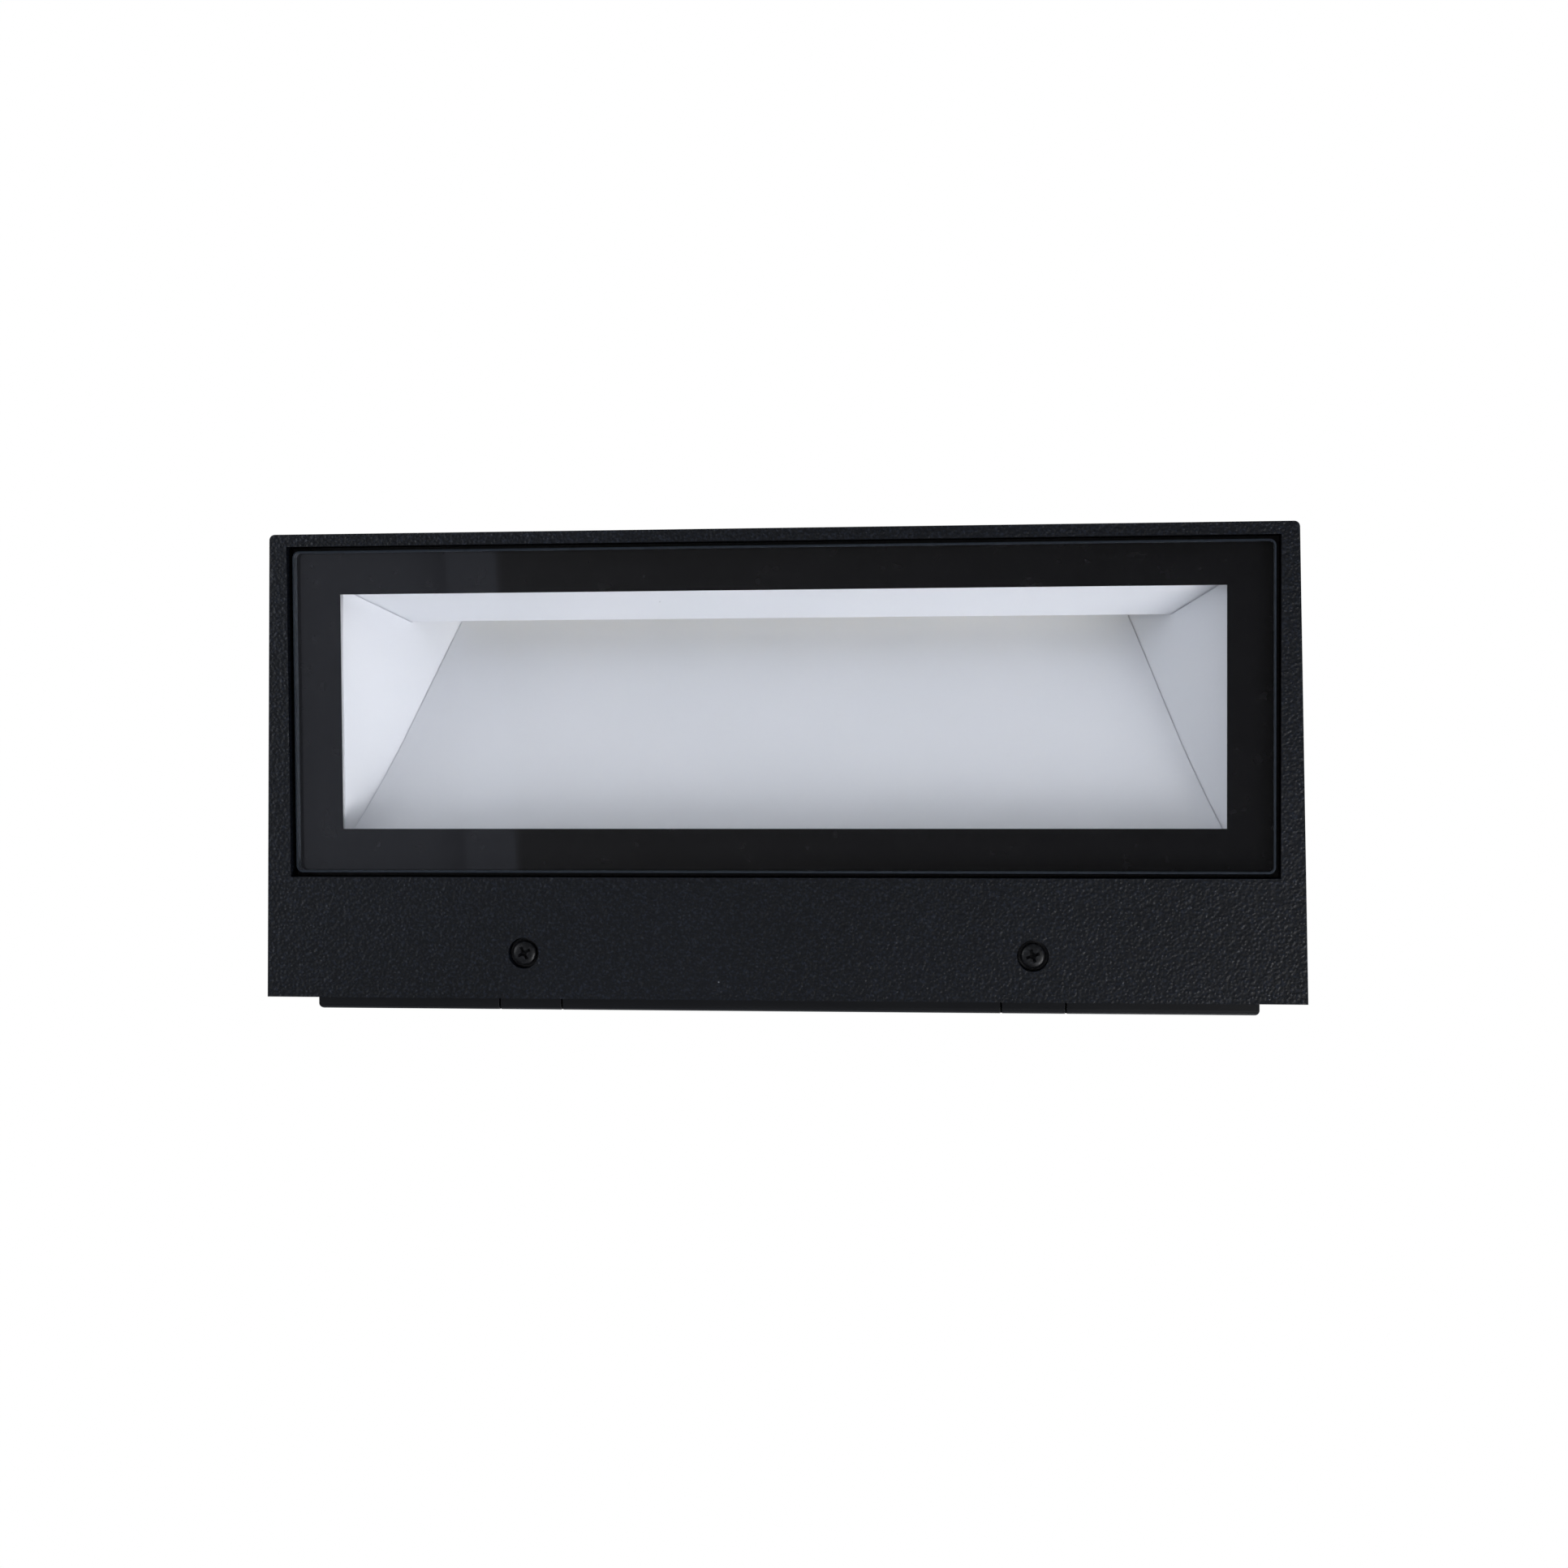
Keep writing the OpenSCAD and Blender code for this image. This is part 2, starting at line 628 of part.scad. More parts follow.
// ---------- LED unit ----------

bar_screw_x = bar_half - 4.6;
board_screw_x = [for (k = [-1.5, -0.5, 0.5, 1.5]) k * 2 * (board_half - 14) / 3];
board_screw_z = led_z - board_h / 2 + 2.6;
led_pitch = 2 * (cheek_x(shield_top_y, led_z) - 6) / led_count;
board_thread = 5;

module led_heat_bar() color("#b4b8bd")
    difference() {
        block(-bar_half, bar_half, bar_front_y, bar_rear_y, led_z - bar_h / 2, panel_top_z);
        for (x = [-1, 1] * bar_screw_x) {
            rod_y(x, led_z, bar_front_y - 1, bar_rear_y + 1, bar_screw_r + 0.2);
            rod_y(x, led_z, bar_rear_y - 3, bar_rear_y + 1, 4);
        }
        for (x = board_screw_x)
            rod_y(x, board_screw_z, board_rear_y - board_thread, bar_rear_y + 1, small_screw_r - 0.5);
    }

module heat_bar_screws() color("#c3c7cc")
    for (x = [-1, 1] * bar_screw_x)
        screw_forward(x, bar_rear_y - 3, led_z, bar_screw_r, bar_rear_y - 3 - bar_front_y + 5, 3.6, 2.4);

module thermal_pad() color("#9fb4c7")
    difference() {
        block(-board_half, board_half, bar_rear_y, board_front_y, led_z - board_h / 2, led_z + board_h / 2);
        for (x = board_screw_x)
            rod_y(x, board_screw_z, bar_rear_y - 1, board_front_y + 1, small_screw_r - 0.5);
    }

module led_board() color("#f2f3f0")
    difference() {
        block(-board_half, board_half, board_front_y, board_rear_y, led_z - board_h / 2, led_z + board_h / 2);
        for (x = board_screw_x)
            rod_y(x, board_screw_z, board_front_y - 1, board_rear_y + 1, small_screw_r - 0.5);
    }

module led_chips() color("#f0d36a")
    for (k = [0:led_count - 1])
        translate([(k - (led_count - 1) / 2) * led_pitch, board_rear_y + led_t / 2, led_z + 1.6])
            cube([led_size, led_t, led_size], center = true);

module led_connector() color("#f4f1e6")
    difference() {
        translate([connector_x, board_rear_y + connector_t / 2, led_z])
            cube([connector_w, connector_t, 6], center = true);
        for (s = [-1, 1])
            rod_z(connector_x + s * 1.6, board_rear_y + connector_t / 2, led_z - 1, led_z + 4, lead_r);
    }

module led_board_screws() color("#c3c7cc")
    for (x = board_screw_x)
        screw_forward(x, board_rear_y, board_screw_z, small_screw_r - 0.5, board_thread, 1.9, 1.1);

// ---------- leads ----------

lead_sides = 8;
steps_per_span = 5;
function spline(a, b, c, d, t) = 0.5 * (2 * b + (c - a) * t + (2 * a - 5 * b + 4 * c - d) * t * t
    + (3 * b - a - 3 * c + d) * t * t * t);
function smooth(p) = concat([for (i = [0:len(p) - 2], k = [0:steps_per_span - 1])
    spline(p[max(i - 1, 0)], p[i], p[i + 1], p[min(i + 2, len(p) - 1)], k / steps_per_span)],
    [p[len(p) - 1]]);
function unit(v) = v / norm(v);
function heading(q, i) = unit(q[min(i + 1, len(q) - 1)] - q[max(i - 1, 0)]);
function ring(q, i, r, side) = let(h = heading(q, i), u = unit(cross(h, side)), v = cross(h, u))
    [for (k = [0:lead_sides - 1]) q[i] + r * (u * cos(360 * k / lead_sides) + v * sin(360 * k / lead_sides))];

// A round lead along a route; side is a direction that the route never points along
module lead(route, r, side) {
    q = smooth(route);
    n = len(q);
    polyhedron([for (i = [0:n - 1]) each ring(q, i, r, side)],
        concat([[for (k = [0:lead_sides - 1]) k]],
            [for (i = [0:n - 2], k = [0:lead_sides - 1]) [i * lead_sides + k,
                (i + 1) * lead_sides + k, (i + 1) * lead_sides + (k + 1) % lead_sides,
                i * lead_sides + (k + 1) % lead_sides]],
            [[for (k = [lead_sides - 1:-1:0]) (n - 1) * lead_sides + k]]));
}

lead_out_y = cover_front_y - driver_t * 0.6;
lead_over_z = panel_top_z + 7;

module led_lead(s) {
    x = connector_x + s * 1.6;
    z = driver_z + s * 3;
    y = board_rear_y + connector_t / 2;
    lead([[driver_left - eps, lead_out_y, z], [driver_left - 4, lead_out_y, z],
        [driver_left - 8 - s, lead_out_y - 5, z], [driver_left - 9 + s, lead_out_y - 20, lead_over_z + s],
        [x - 3, y + 18, lead_over_z + s], [x, y + 5, lead_over_z], [x, y, led_z + 8],
        [x, y, led_z + 2.5], [x, y, led_z - 0.9]], lead_r, [1, 0.02, 0.03]);
}

module led_lead_positive() color("#b3261e") led_lead(1);
module led_lead_negative() color("#1b1b1b") led_lead(-1);

module mains_lead(k) {
    z0 = pole_z[k];
    z1 = driver_z + (k - 1) * 4;
    y0 = block_base - block_t * 0.55;
    lead([[block_x - block_w / 2 + 4, y0, z0], [block_x - block_w / 2, y0, z0],
        [block_x - block_w / 2 - 8, y0 - 1, z0], [cable_x, y0 - 5, (z0 + z1) / 2],
        [driver_right + 10, lead_out_y, z1], [driver_right + 2, lead_out_y, z1],
        [driver_right + eps, lead_out_y, z1]], 1.1, [0.02, 0.03, 1]);
}

module mains_lead_live() color("#6b3d1f") mains_lead(2);
module mains_lead_neutral() color("#2560a8") mains_lead(0);
module mains_lead_earth() color("#5f9a2f") mains_lead(1);

// ---------- driver, rear cover and terminal block ----------

driver_ear_x = [driver_left - ear_l / 2, driver_right + ear_l / 2];

module driver_case() color("#e9eaec")
    difference() {
        union() {
            block(driver_left, driver_right, driver_front_y, cover_front_y,
                driver_z - driver_h / 2, driver_z + driver_h / 2);
            block(driver_left - ear_l, driver_right + ear_l, cover_front_y - ear_t, cover_front_y,
                driver_z - driver_h / 2 + 6, driver_z + driver_h / 2 - 6);
        }
        for (x = driver_ear_x)
            rod_y(x, driver_z - driver_h / 2 + 9, cover_front_y - ear_t - 1, cover_front_y + 1,
                small_screw_r + 0.2);
        for (s = [-1, 1]) rod_x(driver_left - 1, driver_left, lead_out_y, driver_z + s * 3, lead_r);
    }

module driver_screws() color("#c3c7cc")
    for (x = driver_ear_x)
        screw_back(x, cover_front_y - ear_t, driver_z - driver_h / 2 + 9, small_screw_r, ear_t + 3, 2.6, 1.8);

module cover_outline(grow)
    translate([0, (cover_low_z + cover_high_z) / 2])
        rounded_rect(2 * (cover_half + grow), cover_high_z - cover_low_z + 2 * grow, 5 + grow);

module rear_cover() color("#2b2e34")
    difference() {
        along_y(cover_front_y, cover_rear_y) cover_outline(0);
        for (x = cover_screw_x, z = cover_screw_z)
            rod_y(x, z, cover_front_y - 1, cover_rear_y + 1, screw_r + 0.2);
        rod_y(cable_x, cable_z, cover_front_y - 1, cover_rear_y + 1, gland_hole_r);
        for (x = driver_ear_x)
            rod_y(x, driver_z - driver_h / 2 + 9, cover_front_y - 1, cover_front_y + 3, small_screw_r);
        for (z = block_screw_z)
            rod_y(block_x, z, cover_front_y - 1, cover_front_y + 3, small_screw_r);
    }

module rear_cover_gasket() color("#8f3b34")
    along_y(rim_rear_y, cover_front_y)
        difference() {
            cover_outline(-0.5);
            translate([0, (rim_low_z + rim_high_z) / 2])
                square([2 * rim_half_w + 0.6, rim_high_z - rim_low_z + 0.6], center = true);
            for (x = cover_screw_x, z = cover_screw_z)
                translate([x, z]) circle(r = screw_r + 0.2, $fn = round_fn);
        }

module rear_cover_screws() color("#c3c7cc")
    for (x = cover_screw_x, z = cover_screw_z)
        translate([x, cover_rear_y, z]) rotate([90, 0, 0]) pan_screw(screw_r, cover_screw_l, 3.6, 2.4);

block_half_h = pole_count * pole_pitch / 2 + 1.5;
block_screw_z = [driver_z - pole_pitch / 2, driver_z + pole_pitch / 2];
clamp_places = [for (z = pole_z, s = [-1, 1]) [block_x + s * 4.4, z]];

module terminal_block() color("#d9dade")
    difference() {
        block(block_x - block_w / 2, block_x + block_w / 2, block_base - block_t, block_base,
            driver_z - block_half_h, driver_z + block_half_h);
        for (p = clamp_places) rod_y(p[0], p[1], block_base - block_t - 1, block_base - block_t + 5, 1.9);
        for (z = pole_z)
            rod_x(block_x - block_w / 2 - 1, block_x + block_w / 2 + 1, block_base - block_t * 0.55, z, 1.1);
        for (z = block_screw_z) {
            rod_y(block_x, z, block_base - block_t - 1, block_base + 1, small_screw_r + 0.1);
            rod_y(block_x, z, block_base - block_t - 1, block_base - 4, 2.2);
        }
    }

module terminal_clamp_screws() color("#c9b04a")
    for (p = clamp_places)
        screw_back(p[0], block_base - block_t + 2, p[1], 1.2, 3, 1.8, 1.2);

module terminal_mount_screws() color("#c3c7cc")
    for (z = block_screw_z) screw_back(block_x, block_base - 4, z, small_screw_r, 7, 2.1, 1.6);

// ---------- cable gland ----------

module hexagon_y(x, z, y0, y1, flats)
    translate([x, y1, z]) rotate([90, 0, 0]) cylinder(d = flats / cos(30), h = y1 - y0, $fn = 6);

gland_hex_t = 5;
gland_neck_y = cover_rear_y + gland_hex_t;
gland_cap_end = gland_neck_y + 9;
bush_r = gland_r - 2;
lock_t = 4;

module gland_body() color("#1b1c1f")
    difference() {
        union() {
            rod_y(cable_x, cable_z, cover_front_y - lock_t - 2, cover_rear_y + eps, gland_r);
            hexagon_y(cable_x, cable_z, cover_rear_y, gland_neck_y, 2 * gland_r + 5);
            rod_y(cable_x, cable_z, gland_neck_y - eps, gland_neck_y + 4, gland_r);
        }
        rod_y(cable_x, cable_z, cover_front_y - lock_t - 3, gland_neck_y + 5, bush_r);
    }

module gland_locknut() color("#1b1c1f")
    difference() {
        hexagon_y(cable_x, cable_z, cover_front_y - lock_t, cover_front_y, 2 * gland_r + 5);
        rod_y(cable_x, cable_z, cover_front_y - lock_t - 1, cover_front_y + 1, gland_r);
    }

module gland_bush() color("#3a3b3d")
    difference() {
        rod_y(cable_x, cable_z, gland_neck_y - 8, gland_neck_y + 5, bush_r);
        rod_y(cable_x, cable_z, gland_neck_y - 9, gland_neck_y + 6, cable_r);
    }

module gland_cap() color("#1b1c1f")
    difference() {
        union() {
            hexagon_y(cable_x, cable_z, gland_neck_y + moving_gap, gland_neck_y + 5, 2 * gland_r + 5);
            translate([cable_x, gland_neck_y + 5, cable_z]) rotate([-90, 0, 0])
                rotate_extrude($fn = round_fn)
                    polygon([[0, -eps], [gland_r + 2.3, -eps], [gland_r + 1.6, 2.6], [gland_r - 0.6, 4], [0, 4]]);
        }
        rod_y(cable_x, cable_z, gland_neck_y - 1, gland_neck_y + 4 + eps, gland_r);
        rod_y(cable_x, cable_z, gland_neck_y - 1, gland_neck_y + 5 + eps, bush_r + 0.1);
        rod_y(cable_x, cable_z, gland_neck_y, gland_cap_end + 1, cable_r + 0.6);
    }

wall_bracket();
cable_grommet();
earth_washer();
earth_screw();
housing();
glass_cover();
enamel_border();
glass_seal();
reflector_back();
reflector_cheek_left();
reflector_cheek_right();
glare_shield();
reflector_screws();
led_heat_bar();
heat_bar_screws();
thermal_pad();
led_board();
led_chips();
led_connector();
led_board_screws();
led_lead_positive();
led_lead_negative();
driver_case();
driver_screws();
rear_cover();
rear_cover_gasket();
rear_cover_screws();
terminal_block();
terminal_clamp_screws();
terminal_mount_screws();
mains_lead_live();
mains_lead_neutral();
mains_lead_earth();
gland_body();
gland_locknut();
gland_bush();
gland_cap();
hinge_pins();
clamp_nuts();
screw_washer_left();
screw_washer_right();
body_screw_left();
body_screw_right();
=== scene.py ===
"""Looks for an outdoor LED wall luminaire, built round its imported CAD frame.

Metres, +Z up. The wall is the plane Y = 0, and the window looks down.
"""

import json
import math

import bmesh
import bpy
from mathutils import Matrix, Vector

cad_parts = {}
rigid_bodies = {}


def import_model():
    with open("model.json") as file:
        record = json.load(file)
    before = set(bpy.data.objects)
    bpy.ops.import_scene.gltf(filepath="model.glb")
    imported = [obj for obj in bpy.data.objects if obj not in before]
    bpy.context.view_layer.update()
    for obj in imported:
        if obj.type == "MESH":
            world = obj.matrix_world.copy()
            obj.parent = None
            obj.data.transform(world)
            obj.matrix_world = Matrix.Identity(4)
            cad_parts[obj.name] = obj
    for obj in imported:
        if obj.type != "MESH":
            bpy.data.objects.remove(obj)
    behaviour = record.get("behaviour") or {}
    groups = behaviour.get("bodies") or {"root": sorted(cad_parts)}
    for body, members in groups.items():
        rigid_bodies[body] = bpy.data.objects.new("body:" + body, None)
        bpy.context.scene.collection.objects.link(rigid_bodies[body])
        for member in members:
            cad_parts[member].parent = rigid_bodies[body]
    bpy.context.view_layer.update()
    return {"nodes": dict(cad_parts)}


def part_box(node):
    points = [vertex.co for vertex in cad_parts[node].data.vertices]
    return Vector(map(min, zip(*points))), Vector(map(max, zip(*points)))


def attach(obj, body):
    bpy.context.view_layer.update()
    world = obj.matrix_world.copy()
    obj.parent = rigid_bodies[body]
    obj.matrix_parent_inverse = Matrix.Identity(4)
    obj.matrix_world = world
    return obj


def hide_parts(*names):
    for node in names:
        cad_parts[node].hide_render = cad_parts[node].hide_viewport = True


MM = 0.001
scene = bpy.context.scene
for old in list(bpy.data.objects):
    bpy.data.objects.remove(old)
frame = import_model()
nodes = frame["nodes"]


# ---------- camera ----------

# Degrees away from looking straight up, with the luminaire's front toward the picture's top.
CAMERA_ROLL, CAMERA_YAW, CAMERA_PITCH = -0.118, 6.417, 2.199
CAMERA_AT = (0.0805, -0.0931, -0.728)


def spin(degrees, axis):
    """A turn about one of the axes X, Y and Z."""
    return Matrix.Rotation(math.radians(degrees), 3, axis)


lens = bpy.data.cameras.new("camera")
lens.lens = 55.9
lens.sensor_width = 36
lens.clip_start = 0.02
lens.clip_end = 80
camera = bpy.data.objects.new("camera", lens)
scene.collection.objects.link(camera)
# The rows of turn are the view's right, down and forward; a camera wants right, up and backward.
turn = spin(CAMERA_ROLL, "Z") @ spin(CAMERA_YAW, "Y") @ spin(CAMERA_PITCH, "X")
axes = Matrix((turn[0], -turn[1], -turn[2])).transposed()
camera.matrix_world = Matrix.Translation(CAMERA_AT) @ axes.to_4x4()
scene.camera = camera
scene.view_settings.view_transform = "Standard"
scene.view_settings.look = "None"


# ---------- material kit ----------

class Finish:
    """A node material: a Principled shader whose patterns are laid out in the object's own millimetres."""

    def __init__(self, name, rough=0.5, metal=0.0, spec=0.5, **sockets):
        self.mat = bpy.data.materials.new(name)
        self.mat.use_nodes = True
        self.tree = self.mat.node_tree
        self.tree.nodes.clear()
        self.out = self.add("ShaderNodeOutputMaterial")
        self.bsdf = self.add("ShaderNodeBsdfPrincipled")
        self.link(self.bsdf.outputs[0], self.out.inputs["Surface"])
        self.bsdf.inputs["Roughness"].default_value = rough
        self.bsdf.inputs["Metallic"].default_value = metal
        self.bsdf.inputs["Specular IOR Level"].default_value = spec
        for socket, value in sockets.items():
            self.bsdf.inputs[socket.replace("_", " ")].default_value = value
        self.where = self.add("ShaderNodeTexCoord").outputs["Object"]
        self.normal = None

    def add(self, kind, **values):
        n = self.tree.nodes.new(kind)
        for k, v in values.items():
            setattr(n, k, v)
        return n

    def link(self, a, b):
        self.tree.links.new(a, b)

    def squeezed(self, x_scale):
        """Coordinates in which a pattern comes out 1 / x_scale times as long along X."""
        m = self.add("ShaderNodeMapping")
        m.inputs["Scale"].default_value = (x_scale, 1, 1)
        self.link(self.where, m.inputs["Vector"])
        return m.outputs[0]

    def noise(self, size, detail=2.0, rough=0.5, at=None):
        """Noise whose blobs are about size millimetres across."""
        n = self.add("ShaderNodeTexNoise")
        n.inputs["Scale"].default_value = 1 / (size * MM)
        n.inputs["Detail"].default_value = detail
        n.inputs["Roughness"].default_value = rough
        self.link(at or self.where, n.inputs["Vector"])
        return n.outputs["Fac"]

    def cells(self, size, feature="F1", at=None):
        """How far each place is from the nearest point or edge, in cells about size millimetres across."""
        n = self.add("ShaderNodeTexVoronoi", feature=feature)
        n.inputs["Scale"].default_value = 1 / (size * MM)
        self.link(at or self.where, n.inputs["Vector"])
        return n.outputs["Distance"]

    def ramp(self, fac, *stops):
        """A value or colour that follows fac through (position, value or colour) stops."""
        r = self.add("ShaderNodeValToRGB")
        e = r.color_ramp.elements
        while len(e) < len(stops):
            e.new(0.5)
        for item, (position, value) in zip(e, stops):
            item.position = position
            item.color = (*value, 1) if isinstance(value, tuple) else (value, value, value, 1)
        self.link(fac, r.inputs[0])
        return r.outputs[0]

    def math(self, operation, a, b):
        m = self.add("ShaderNodeMath", operation=operation)
        for socket, value in zip(m.inputs, (a, b)):
            if isinstance(value, (int, float)):
                socket.default_value = value
            else:
                self.link(value, socket)
        return m.outputs[0]

    def mix(self, fac, a, b):
        """The colour a where fac is 0 and b where it is 1; each is a colour or a socket."""
        m = self.add("ShaderNodeMix", data_type="RGBA")
        for socket, value in ((m.inputs[0], fac), (m.inputs[6], a), (m.inputs[7], b)):
            if isinstance(value, (int, float)):
                socket.default_value = value
            elif isinstance(value, tuple):
                socket.default_value = (*value, 1)
            else:
                self.link(value, socket)
        return m.outputs[2]

    def colour(self, socket):
        """The base colour follows the socket."""
        self.link(socket, self.bsdf.inputs["Base Color"])

    def rough(self, socket):
        """The roughness follows the socket."""
        self.link(socket, self.bsdf.inputs["Roughness"])

    def bump(self, height, depth, strength=1.0):
        """Relief of about depth millimetres, laid over any relief already there."""
        b = self.add("ShaderNodeBump")
        b.inputs["Strength"].default_value = strength
        b.inputs["Distance"].default_value = depth * MM
        self.link(height, b.inputs["Height"])
        if self.normal is not None:
            self.link(self.normal, b.inputs["Normal"])
        self.normal = b.outputs[0]
        self.link(self.normal, self.bsdf.inputs["Normal"])


def srgb(r, g, b):
    """A colour as the eye names it, 0 to 255, in the light values that shaders use."""
    shares = (r / 255, g / 255, b / 255)
    return tuple(c / 12.92 if c <= 0.04045 else ((c + 0.055) / 1.055) ** 2.4 for c in shares)


def specks(f, spacing, radius, patch, start):
    """1 in a few round specks, one in each cell of spacing mm where a noise of patch mm is over start."""
    dots = f.ramp(f.cells(spacing), (0.0, 1.0), (radius, 1.0), (radius + 0.012, 0.0))
    kept = f.ramp(f.noise(patch, 1), (start, 0.0), (start + 0.06, 1.0))
    return f.math("MULTIPLY", dots, kept)


def textured_coat():
    """Black powder coat, like leather: pebbles under a fine grain that catches light, and a little dust."""
    f = Finish("housing_powder_coat", rough=0.5, spec=0.36)
    grain = f.noise(0.75, 3, 0.62)
    pebbles = f.ramp(f.cells(0.9, "SMOOTH_F1"), (0.1, 1.0), (0.7, 0.0))
    tone = f.mix(f.ramp(f.noise(60, 3), (0.3, 0.0), (0.7, 1.0)), srgb(2, 5, 11), srgb(4, 8, 16))
    tone = f.mix(f.ramp(grain, (0.5, 0.0), (0.72, 0.6)), tone, srgb(32, 37, 48))
    f.colour(f.mix(specks(f, 9, 0.022, 26, 0.56), tone, srgb(120, 124, 130)))
    f.rough(f.ramp(grain, (0.3, 0.56), (0.7, 0.34)))
    f.bump(f.noise(2.8, 2), 0.09, 0.7)
    f.bump(f.math("ADD", pebbles, f.math("MULTIPLY", grain, 0.8)), 0.13, 1.0)
    return f.mat


def satin_coat():
    """Smooth black coat with faint rub marks along X."""
    f = Finish("bracket_satin_coat", rough=0.42, spec=0.35)
    f.colour(f.mix(f.noise(45, 3), srgb(10, 12, 16), srgb(15, 17, 22)))
    rub = f.noise(14, 4, 0.65, at=f.squeezed(0.12))
    f.rough(f.ramp(rub, (0.3, 0.38), (0.7, 0.5)))
    f.bump(f.noise(1.1, 2), 0.02, 0.7)
    return f.mat


def white_sheet():
    """Matte white coated sheet, slightly wavy, with a few dark specks."""
    f = Finish("reflector_matte_white", rough=0.62, spec=0.35)
    tone = f.mix(f.noise(50, 2), srgb(233, 236, 242), srgb(238, 240, 246))
    f.colour(f.mix(specks(f, 13, 0.014, 31, 0.54), tone, srgb(120, 122, 128)))
    f.rough(f.ramp(f.noise(3, 3), (0.3, 0.58), (0.7, 0.68)))
    f.bump(f.noise(0.35, 2), 0.008, 0.5)
    f.bump(f.noise(28, 1), 0.12, 0.35)
    return f.mat


def clear_glass():
    """Clear glass with faint smears. Lamps' light passes it straight, a little weakened."""
    f = Finish("window_glass", rough=0.0, IOR=1.52)
    f.bsdf.inputs["Transmission Weight"].default_value = 1.0
    smear = f.noise(34, 3, 0.6)
    f.colour(f.mix(smear, (0.974, 0.979, 0.984), (0.988, 0.991, 0.995)))
    straight = f.add("ShaderNodeBsdfTransparent")
    straight.inputs[0].default_value = (0.935, 0.942, 0.95, 1)
    both = f.add("ShaderNodeMixShader")
    f.link(f.add("ShaderNodeLightPath").outputs["Is Shadow Ray"], both.inputs[0])
    f.link(f.bsdf.outputs[0], both.inputs[1])
    f.link(straight.outputs[0], both.inputs[2])
    f.link(both.outputs[0], f.out.inputs["Surface"])
    return f.mat


def ground_edge():
    """The glass pane's ground rim: matte, its colour painted dark as painted shade for the shaded recess
    seen through it.
    """
    f = Finish("glass_ground_edge", rough=0.35, spec=0.5)
    # Painted shade: the rim's colour is dark grey-blue for the shaded recess behind it.
    f.colour(f.mix(f.noise(1.2, 3), srgb(30, 35, 42), srgb(50, 56, 64)))
    f.bump(f.noise(0.25, 2), 0.02, 0.6)
    return f.mat


def enamel():
    """Black ceramic print, seen through the glass."""
    f = Finish("black_enamel_print", rough=0.22, spec=0.3)
    f.colour(f.mix(f.noise(18, 3), srgb(9, 9, 12), srgb(13, 13, 16)))
    f.rough(f.ramp(f.noise(5, 2), (0.3, 0.2), (0.7, 0.28)))
    f.bump(f.noise(0.5, 2), 0.004, 0.4)
    return f.mat


def rubber(name, low, high, rough=0.75):
    """Soft dull rubber or silicone, its colour between low and high."""
    f = Finish(name, rough=rough, spec=0.35)
    f.colour(f.mix(f.noise(4, 3), low, high))
    f.rough(f.ramp(f.noise(1.4, 3), (0.3, rough - 0.08), (0.7, rough + 0.08)))
    f.bump(f.noise(0.5, 3), 0.03, 0.6)
    return f.mat


def moulded(name, low, high, rough=0.42):
    """Moulded plastic with a fine tooled grain, its colour between low and high."""
    f = Finish(name, rough=rough, spec=0.5)
    f.colour(f.mix(f.noise(22, 3), low, high))
    f.rough(f.ramp(f.noise(6, 3), (0.3, rough - 0.05), (0.7, rough + 0.07)))
    f.bump(f.noise(0.28, 2), 0.01, 0.7)
    return f.mat


def plated(name, low, high, rough=0.3):
    """Plated metal with uneven gloss, its colour between low and high."""
    f = Finish(name, rough=rough, metal=1.0)
    f.colour(f.mix(f.noise(3, 4, 0.6), low, high))
    f.rough(f.ramp(f.noise(0.9, 3), (0.3, rough - 0.08), (0.7, rough + 0.12)))
    f.bump(f.noise(0.22, 2), 0.006, 0.6)
    return f.mat


def black_oxide():
    """Blackened steel, rubbed paler in places."""
    f = Finish("screw_black_oxide", rough=0.36, metal=0.2, spec=0.45)
    wear = f.ramp(f.noise(0.8, 3, 0.6), (0.5, 0.0), (0.72, 0.5))
    f.colour(f.mix(wear, srgb(13, 14, 17), srgb(44, 46, 50)))
    f.rough(f.ramp(f.noise(0.5, 2), (0.3, 0.34), (0.7, 0.5)))
    f.bump(f.noise(0.3, 2), 0.012, 0.7)
    return f.mat


def cast_metal():
    """Bare aluminium casting, shot-blasted."""
    f = Finish("cover_blasted_casting", rough=0.5, metal=0.85)
    f.colour(f.mix(f.noise(30, 4, 0.6), srgb(112, 115, 119), srgb(142, 145, 148)))
    f.rough(f.ramp(f.noise(2, 3), (0.3, 0.46), (0.7, 0.62)))
    f.bump(f.noise(0.7, 3), 0.05, 0.8)
    return f.mat


def drawn_metal():
    """Drawn aluminium, with streaks along X."""
    f = Finish("heat_bar_drawn_aluminium", rough=0.34, metal=1.0)
    streaks = f.noise(0.6, 3, 0.6, at=f.squeezed(0.03))
    f.colour(f.mix(streaks, srgb(196, 199, 202), srgb(222, 224, 226)))
    f.rough(f.ramp(streaks, (0.3, 0.28), (0.7, 0.42)))
    f.bump(streaks, 0.01, 0.5)
    return f.mat


def board_mask():
    """White solder mask over raised copper fields."""
    f = Finish("board_white_mask", rough=0.36, spec=0.5)
    tracks = f.ramp(f.cells(4.2, "DISTANCE_TO_EDGE", at=f.squeezed(0.3)), (0.04, 0.0), (0.06, 1.0))
    f.colour(f.mix(tracks, srgb(226, 229, 222), srgb(243, 244, 239)))
    f.bump(tracks, 0.03, 0.5)
    return f.mat


def phosphor():
    """The LEDs' yellow phosphor, unlit."""
    f = Finish("led_yellow_phosphor", rough=0.32, spec=0.5)
    f.colour(f.mix(f.noise(0.35, 3), srgb(232, 190, 70), srgb(246, 214, 104)))
    f.bump(f.noise(0.12, 2), 0.01, 0.6)
    return f.mat


